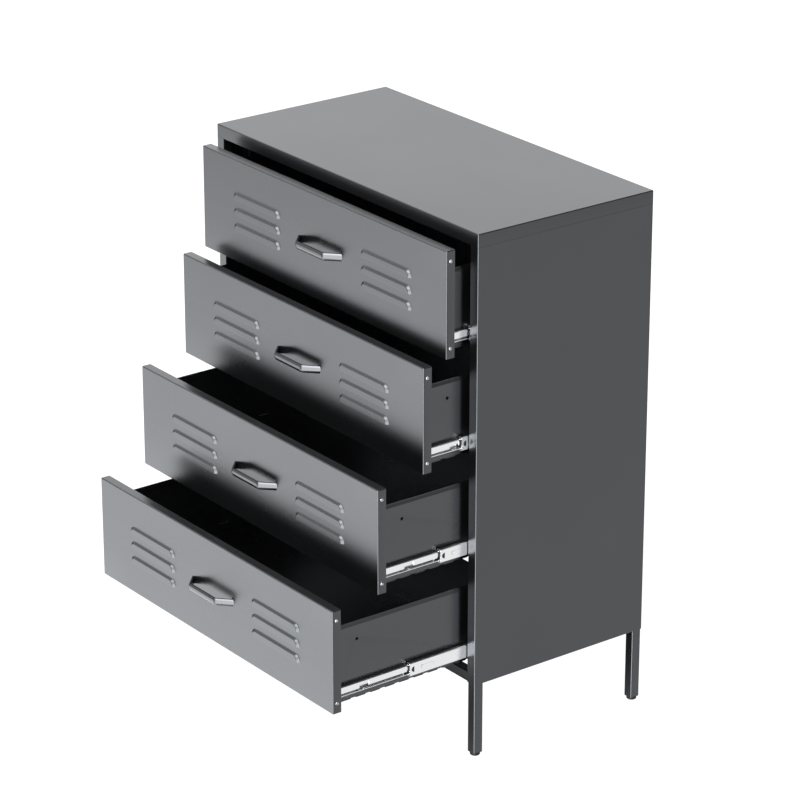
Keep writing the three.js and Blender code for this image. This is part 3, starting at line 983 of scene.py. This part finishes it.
# ---- Drawer boxes ----
# The two sides are sheets with a hem along the top and a flange underneath; a third sheet is
# folded up into the bottom and the back.
HEM_HEIGHT = 10 * MM
HEM_GAP = 0.1 * MM
HEM_CREASE = 8 * MM  # below the top edge, where the side starts to lean inwards
HEM_LEAN = 1.4 * MM
HEM_EDGE = 1.5 * MM  # the upright strip left at the very top
SIDE_FLANGE = 12 * MM
TAB_DROP = 1.0 * MM
box_low, box_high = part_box("drawer_1_box_left")
box_height = box_high.z - box_low.z
box_depth = box_high.y - box_low.y
HOLE_RADIUS = 3.2 * MM
HOLE_SETBACK = 42 * MM
HOLE_DROP = 35 * MM


def drill(data, cutter):
    """Mesh data with the closed shape of a bmesh taken out of it."""
    shape = bpy.data.meshes.new("cutter")
    cutter.to_mesh(shape)
    cutter.free()
    holder = bpy.data.objects.new("drilled", data)
    tool = bpy.data.objects.new("drill", shape)
    for item in (holder, tool):
        bpy.context.scene.collection.objects.link(item)
    hole = holder.modifiers.new("hole", "BOOLEAN")
    hole.operation = "DIFFERENCE"
    hole.object = tool
    hole.solver = "EXACT"
    made = plain_mesh(holder)
    bpy.data.objects.remove(tool)
    made.set_sharp_from_angle(angle=math.radians(30))
    return made


def make_box_side():
    """The left side, x = 0 at its outer face, y = 0 at its front end, z = 0 at its lower edge."""
    bm = bmesh.new()
    inner = 2 * SHEET + HEM_GAP
    top = box_height
    foot = TAB_DROP
    crown = HEM_LEAN
    wall = [(SIDE_FLANGE, foot), (0, foot), (0, top - HEM_CREASE)]
    wall += [(crown, top - HEM_EDGE), (crown, top)]
    wall += [(inner + crown, top), (inner + crown, top - HEM_HEIGHT)]
    folded_sheet(bm, wall[::-1], "y", 0, box_depth, bend=0.4 * MM)
    tab = [(0.9 * MM, 2 * MM), (0.9 * MM, 0.1 * MM), (SIDE_FLANGE, 0.1 * MM)]
    folded_sheet(bm, tab, "z", foot + SHEET, top - HEM_HEIGHT)
    data = mesh_data(bm, "box_side", drawer_paint)
    cutter = bmesh.new()
    place = Matrix.Translation((0, HOLE_SETBACK, top - HOLE_DROP))
    place = place @ Matrix.Rotation(math.pi / 2, 4, "Y")
    size = {"radius1": HOLE_RADIUS, "radius2": HOLE_RADIUS, "depth": 6 * MM, "segments": 32}
    bmesh.ops.create_cone(cutter, cap_ends=True, matrix=place, **size)
    return drill(data, cutter)


def make_box_bottom(low, high):
    bm = bmesh.new()
    inner = 2 * SHEET + HEM_GAP
    outline = [(low.y, low.z), (high.y, low.z), (high.y, high.z)]
    outline += [(high.y - inner, high.z), (high.y - inner, high.z - HEM_HEIGHT)]
    folded_sheet(bm, outline, "x", low.x, high.x)
    return mesh_data(bm, "box_bottom", drawer_paint)


box_side = make_box_side()
for drawer in DRAWERS:
    for side in ("left", "right"):
        node = f"{drawer}_box_{side}"
        low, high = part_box(node)
        spot = (low.x, low.y, low.z) if side == "left" else (high.x, low.y, low.z)
        settle(box_side, node + "_sheet", drawer, [node], spot, side == "right")
    node = drawer + "_bottom_and_back"
    sheet = make_box_bottom(*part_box(node))
    settle(sheet, node + "_sheet", drawer, [node])


# ---- Screws ----
# Four pan-head screws hold each front together, two through each side flange of the outer skin into
# the liner. They are steel, bright zinc plated, with a cross recess.
SCREW_RADIUS = 3.3 * MM
SCREW_FROM_EDGE = 20 * MM


def make_zinc_group():
    """Pale, faintly mottled colour and fine streaks along the length of a zinc plated strip."""
    inputs = [("Roughness", "Float", 0.2)]
    tree, add = new_tree("bright_plating", "ShaderNodeTree", inputs, FINISH)
    place = add("ShaderNodeTexCoord").outputs["Object"]
    mottle = add("ShaderNodeTexNoise", {"Vector": place, "Scale": 90.0, "Detail": 4.0})
    tone = add("ShaderNodeValToRGB", {"Fac": mottle.outputs["Fac"]})
    tone.color_ramp.elements[0].color = (0.91, 0.92, 0.935, 1)
    tone.color_ramp.elements[1].color = (0.97, 0.98, 0.985, 1)
    drawn = {0: place, 1: (1.0, 0.02, 1.0)}
    stretch = add("ShaderNodeVectorMath", drawn, operation="MULTIPLY").outputs[0]
    streaks = add("ShaderNodeTexNoise", {"Vector": stretch, "Scale": 2500.0, "Detail": 2.0})
    streak = streaks.outputs["Fac"]
    dulled = {0: streak, 1: 0.12, 2: add("NodeGroupInput").outputs["Roughness"]}
    gloss = add("ShaderNodeMath", dulled, operation="MULTIPLY_ADD").outputs[0]
    made = {"Colour": tone.outputs["Color"], "Roughness": gloss, "Height": streak}
    add("NodeGroupOutput", made)
    return tree


zinc_finish = make_zinc_group()


def zinc_plate(name, roughness):
    return finished(name, zinc_finish, {"Roughness": roughness}, 1.0, 0.2, 0.01 * MM)


def make_row_tree():
    """Adds a straight row of copies of one piece to the mesh that it is given."""
    inputs = [
        ("Piece", "Object"),
        ("Count", "Int"),
        ("Start", "Vector"),
        ("Step", "Vector"),
        ("Turn", "Vector"),
        ("Finish", "Material"),
    ]
    tree, add = modifier_tree("row_of_pieces", inputs)
    given = add("NodeGroupInput").outputs
    steps = {"Count": given["Count"], "Start Location": given["Start"], "Offset": given["Step"]}
    line = add("GeometryNodeMeshLine", steps, mode="OFFSET").outputs["Mesh"]
    finish_tree(add, given, copies_joined(tree, add, given, line, "Piece", given["Turn"]))
    return tree


row_tree = make_row_tree()


def rows_of(piece_data, rows, finish):
    """One mesh of several straight rows of a piece. A row is (count, start, step, turn)."""
    pattern = bpy.data.objects.new("pattern", piece_data)
    data = bpy.data.meshes.new("rows")
    for count, start, step, turn in rows:
        values = {"Piece": pattern, "Count": count, "Start": start, "Step": step}
        data = run_tree(row_tree, data, {**values, "Turn": turn, "Finish": finish})
    bpy.data.objects.remove(pattern)
    return data


def make_screw():
    """A pan head with its cross recess, its axis upright."""
    bm = bmesh.new()
    profile = [(0, -0.4), (0.97, -0.4), (1, 0), (1, 0.15), (0.93, 0.3), (0.7, 0.45), (0.35, 0.52)]
    profile = [(SCREW_RADIUS * r, SCREW_RADIUS * h) for r, h in profile]
    revolve(bm, profile + [(0, SCREW_RADIUS * 0.53)], Vector((0, 0, 0)), segments=28)
    head = mesh_data(bm, "screw", screw_zinc)
    for turn in (0, math.pi / 2):
        cutter = bmesh.new()
        shape = Matrix.Rotation(turn, 4, "Z") @ Matrix.Translation((0, 0, SCREW_RADIUS * 0.5))
        shape = shape @ Matrix.Diagonal((2.6 * MM, 0.5 * MM, 1.4 * MM, 1))
        bmesh.ops.create_cube(cutter, size=1, matrix=shape)
        head = drill(head, cutter)
    return head


screw_zinc = zinc_plate("screw_zinc", 0.38)
screw_step = (0, 0, front_height - 2 * SCREW_FROM_EDGE)
screw_rows = []
for side in (-1, 1):
    start = (side * front_width / 2, FRONT_THICKNESS / 2, SCREW_FROM_EDGE)
    screw_rows.append((2, start, screw_step, (0, side * math.pi / 2, 0)))
screws = rows_of(make_screw(), screw_rows, screw_zinc)
for drawer in DRAWERS:
    place = drawer_place(drawer)
    settle(screws, drawer + "_front_screws", drawer, (), place, stiff=False)


# ---- Drawer slides ----
# Ball-bearing slides of three rails, rolled from zinc-plated strip: the wide rail is riveted to the
# cabinet's posts, the narrow one hooks into the drawer's side and the middle one runs between them.
RAIL_WALL = 1.2 * MM
RAIL_BEND = 0.6 * MM
RAIL_RETURN = {"inner": 2.6 * MM, "middle": 2.2 * MM, "outer": 2.8 * MM}
BAND_STEPS = [(0, 13), (41, 13), (41, 7.5), (60, 7.5), (60, 4.5), (61.4, 4.5), (61.4, 12)]
PAD = {"front": 25 * MM, "rear": 55 * MM, "half": 3.6 * MM, "rise": 0.5 * MM}
SLIDES = [(drawer, side) for drawer in DRAWERS for side in ("left", "right")]
zinc = zinc_plate("bright_zinc", 0.16)


def rail_shape(kind):
    """A left rail's lip side, web side, half height and length, x = 0 on the drawer's own side."""
    low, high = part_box(f"drawer_1_slide_{kind}_left")
    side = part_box("drawer_1_slide_inner_left")[1].x
    return low.x - side, high.x - side, (high.z - low.z) / 2, high.y - low.y


def plate(mesh, outline, near, far, shrink=0.0):
    """A flat plate with an outline in y and z, between two values of x. shrink draws the far face
    in from its rim, as a pressing does."""
    middle = Vector((sum(p[0] for p in outline), sum(p[1] for p in outline))) / len(outline)
    rings = []
    for x, inset in ((near, 0), (far, shrink)):
        ring = []
        for y, z in outline:
            inward = middle - Vector((y, z))
            spot = Vector((y, z)) + inward.normalized() * inset
            ring.append(mesh.verts.new((x, spot.x, spot.y)))
        rings.append(ring)
    bridge(mesh, *rings)
    mesh.faces.new(rings[0][::-1])
    mesh.faces.new(rings[1])


def make_inner_rail():
    """Its upper lip is folded down over the channel in a flat band, notched near its front end."""
    tip, web, half, length = rail_shape("inner")
    bm = bmesh.new()
    turn = RAIL_RETURN["inner"]
    outline = [(tip, turn - half), (tip, -half), (web, -half), (web, half), (tip, half)]
    outline.append((tip, half - turn))
    folded_sheet(bm, outline, "y", 0, length, RAIL_WALL, RAIL_BEND)
    band = [(y * MM, half - down * MM) for y, down in BAND_STEPS]
    band = [(0, half - turn / 2)] + band + [(length, band[-1][1]), (length, half - turn / 2)]
    plate(bm, band, tip + 0.04 * MM, tip + RAIL_WALL)
    return mesh_data(bm, "inner_rail", zinc)


def channel(bm, kind):
    """A rail rolled to a channel, its lips turned in."""
    web, tip, half, length = rail_shape(kind)
    turn = RAIL_RETURN[kind]
    outline = [(tip, half - turn), (tip, half), (web, half), (web, -half), (tip, -half)]
    outline.append((tip, turn - half))
    folded_sheet(bm, outline, "y", 0, length, RAIL_WALL, RAIL_BEND)
    return web, length


def make_middle_rail():
    """A stiffening pad is pressed out of its web near each end."""
    bm = bmesh.new()
    web, length = channel(bm, "middle")
    for front, rear in ((PAD["front"], PAD["rear"]), (length - PAD["rear"], length - PAD["front"])):
        pad = []
        for end, middle in ((-1, front + PAD["half"]), (1, rear - PAD["half"])):
            for step in range(9):
                t = math.pi * (step / 8 - 0.5)
                spot = (middle + end * PAD["half"] * math.cos(t), end * PAD["half"] * math.sin(t))
                pad.append(spot)
        plate(bm, pad, web + 0.1 * MM, web - PAD["rise"], 1.0 * MM)
    return mesh_data(bm, "middle_rail", zinc)


def make_outer_rail():
    bm = bmesh.new()
    channel(bm, "outer")
    return mesh_data(bm, "outer_rail", zinc)


RAILS = {"inner": make_inner_rail, "middle": make_middle_rail, "outer": make_outer_rail}


def drawer_side(drawer, side, node):
    """Where a slide's piece goes: the drawer's own side, the node's front end and its middle."""
    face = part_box(f"{drawer}_slide_inner_{side}")[1 if side == "left" else 0].x
    low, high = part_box(node)
    return face, low.y, (low.z + high.z) / 2


for drawer, side in SLIDES:
    for kind, make in RAILS.items():
        node = f"{drawer}_slide_{kind}_{side}"
        body = {"inner": drawer, "middle": node, "outer": "cabinet"}[kind]
        spot = drawer_side(drawer, side, node)
        settle(make(), node + "_rail", body, [node], spot, side == "right")


# ---- Balls and their cages ----
# Between each pair of rails runs a thin strip cage with a row of hardened steel balls above and a
# row below.
CAGE_WIDTH = 3.4 * MM
CAGE_WALL = 0.5 * MM
BALL_STEP = 11 * MM
BALL_COUNT = 8
CAGE_END = 5 * MM  # strip past the first and the last ball
INNER_CAGE_START = 12 * MM
OUTER_CAGE_START = 100 * MM  # before the middle rail's rear end


def make_cage(inner, outer, start):
    """Cage and balls between the lips of two rails, the first ball start behind the middle rail's
    front end."""
    inner_half = rail_shape(inner)[2]
    outer_half = rail_shape(outer)[2] - RAIL_WALL
    radius = (outer_half - inner_half) / 2 - 0.08 * MM
    middle = (outer_half + inner_half) / 2
    x = (rail_shape(outer)[0] + rail_shape(outer)[1]) / 2
    ball = bmesh.new()
    bmesh.ops.create_uvsphere(ball, u_segments=14, v_segments=8, radius=radius)
    for face in ball.faces:
        face.smooth = True
    ball_data = bpy.data.meshes.new("ball")
    ball.to_mesh(ball_data)
    rows = [(BALL_COUNT, (x, start, z), (0, BALL_STEP, 0), (0, 0, 0)) for z in (-middle, middle)]
    balls = rows_of(ball_data, rows, zinc)
    bm = bmesh.new()
    bm.from_mesh(balls)
    end = start + BALL_STEP * (BALL_COUNT - 1)
    for z in (-middle, middle):
        strip = [(start - CAGE_END, z - CAGE_WALL / 2), (start - CAGE_END, z + CAGE_WALL / 2)]
        strip += [(end + CAGE_END, z + CAGE_WALL / 2), (end + CAGE_END, z - CAGE_WALL / 2)]
        plate(bm, strip, x - CAGE_WIDTH / 2, x + CAGE_WIDTH / 2)
    return mesh_data(bm, "cage", zinc, weld=1e-7)


middle_length = rail_shape("middle")[3]
cages = {
    "inner_cage": make_cage("inner", "middle", INNER_CAGE_START),
    "outer_cage": make_cage("middle", "outer", middle_length - OUTER_CAGE_START),
}


# ---- Slide bumpers ----
# Moulded black plastic: a retainer clipped into the mouth of each middle rail, and a half-round
# stop let into its web.
def make_bumpers():
    web, _, half, _ = rail_shape("middle")
    lip, _, inner_half, _ = rail_shape("inner")
    bm = bmesh.new()
    top = inner_half - 1 * MM
    foot = inner_half - 12 * MM
    hollow = []
    for step in range(9):
        t = step / 8
        hollow.append(((-5 + 1.8 * math.sin(math.pi * t)) * MM, top + (foot - top) * t))
    retainer = hollow + [(4 * MM, foot), (4 * MM, top)]
    plate(bm, retainer, lip - 0.15 * MM, web + RAIL_WALL + 0.1 * MM)
    moon = []
    for step in range(13):
        t = math.pi * step / 12
        moon.append(((10 - 6 * math.sin(t)) * MM, 5.5 * MM * math.cos(t)))
    plate(bm, moon, web + 0.1 * MM, web - 0.4 * MM, 0.2 * MM)
    return mesh_data(bm, "bumpers", black_plastic)


bumpers = make_bumpers()
for drawer, side in SLIDES:
    body = f"{drawer}_slide_middle_{side}"
    spot = drawer_side(drawer, side, body)
    mirror = side == "right"
    settle(bumpers, body + "_bumpers", body, (), spot, mirror, stiff=False)
    for name, cage in cages.items():
        settle(cage, f"{body}_{name}", body, (), spot, mirror, stiff=False)


# ---- Lower tabs and rail hooks ----
# Tabs of the bottom sheet are pushed through the lower edge of each side and dressed over. The
# slide's inner rail hooks through the side in two places and shows inside as thin bright bars.
TAB = {"length": 23 * MM, "pitch": 32.5 * MM, "first": 17 * MM, "count": 11}
HOOK = {"length": 20 * MM, "height": 1.8 * MM, "proud": 0.5 * MM}
HOOK_SETBACKS = (70 * MM, 255 * MM)


def make_tab():
    bm = bmesh.new()
    half = TAB["length"] / 2
    outline = [(-half, TAB_DROP * 1.4), (-half + 1 * MM, 0.05 * MM), (half - 1 * MM, 0.05 * MM)]
    plate(bm, outline + [(half, TAB_DROP * 1.4)], 0, SHEET)
    return mesh_data(bm, "tab", drawer_paint)


def make_hook():
    bm = bmesh.new()
    shape = Matrix.Diagonal((HOOK["proud"] * 2, HOOK["length"], HOOK["height"], 1))
    bmesh.ops.create_cube(bm, size=1, matrix=shape)
    bmesh.ops.bevel(bm, geom=bm.edges[:], offset=0.3 * MM, segments=2, affect="EDGES")
    return mesh_data(bm, "hook", zinc)


tab_rows = [(TAB["count"], (0, TAB["first"], 0), (0, TAB["pitch"], 0), (0, 0, 0))]
tabs = rows_of(make_tab(), tab_rows, drawer_paint)
hook_rows = []
slide_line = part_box("drawer_1_slide_inner_left")
hook_height = (slide_line[0].z + slide_line[1].z) / 2 - box_low.z
for setback in HOOK_SETBACKS:
    hook_rows.append((1, (SHEET, setback, hook_height), (0, 0, 0), (0, 0, 0)))
hooks = rows_of(make_hook(), hook_rows, zinc)
for drawer, side in SLIDES:
    low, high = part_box(f"{drawer}_box_{side}")
    spot = (low.x, low.y, low.z) if side == "left" else (high.x, low.y, low.z)
    mirror = side == "right"
    settle(tabs, f"{drawer}_{side}_tabs", drawer, (), spot, mirror, stiff=False)
    name = f"{drawer}_{side}_rail_hooks"
    settle(hooks, name, drawer, (), spot, mirror, stiff=False)
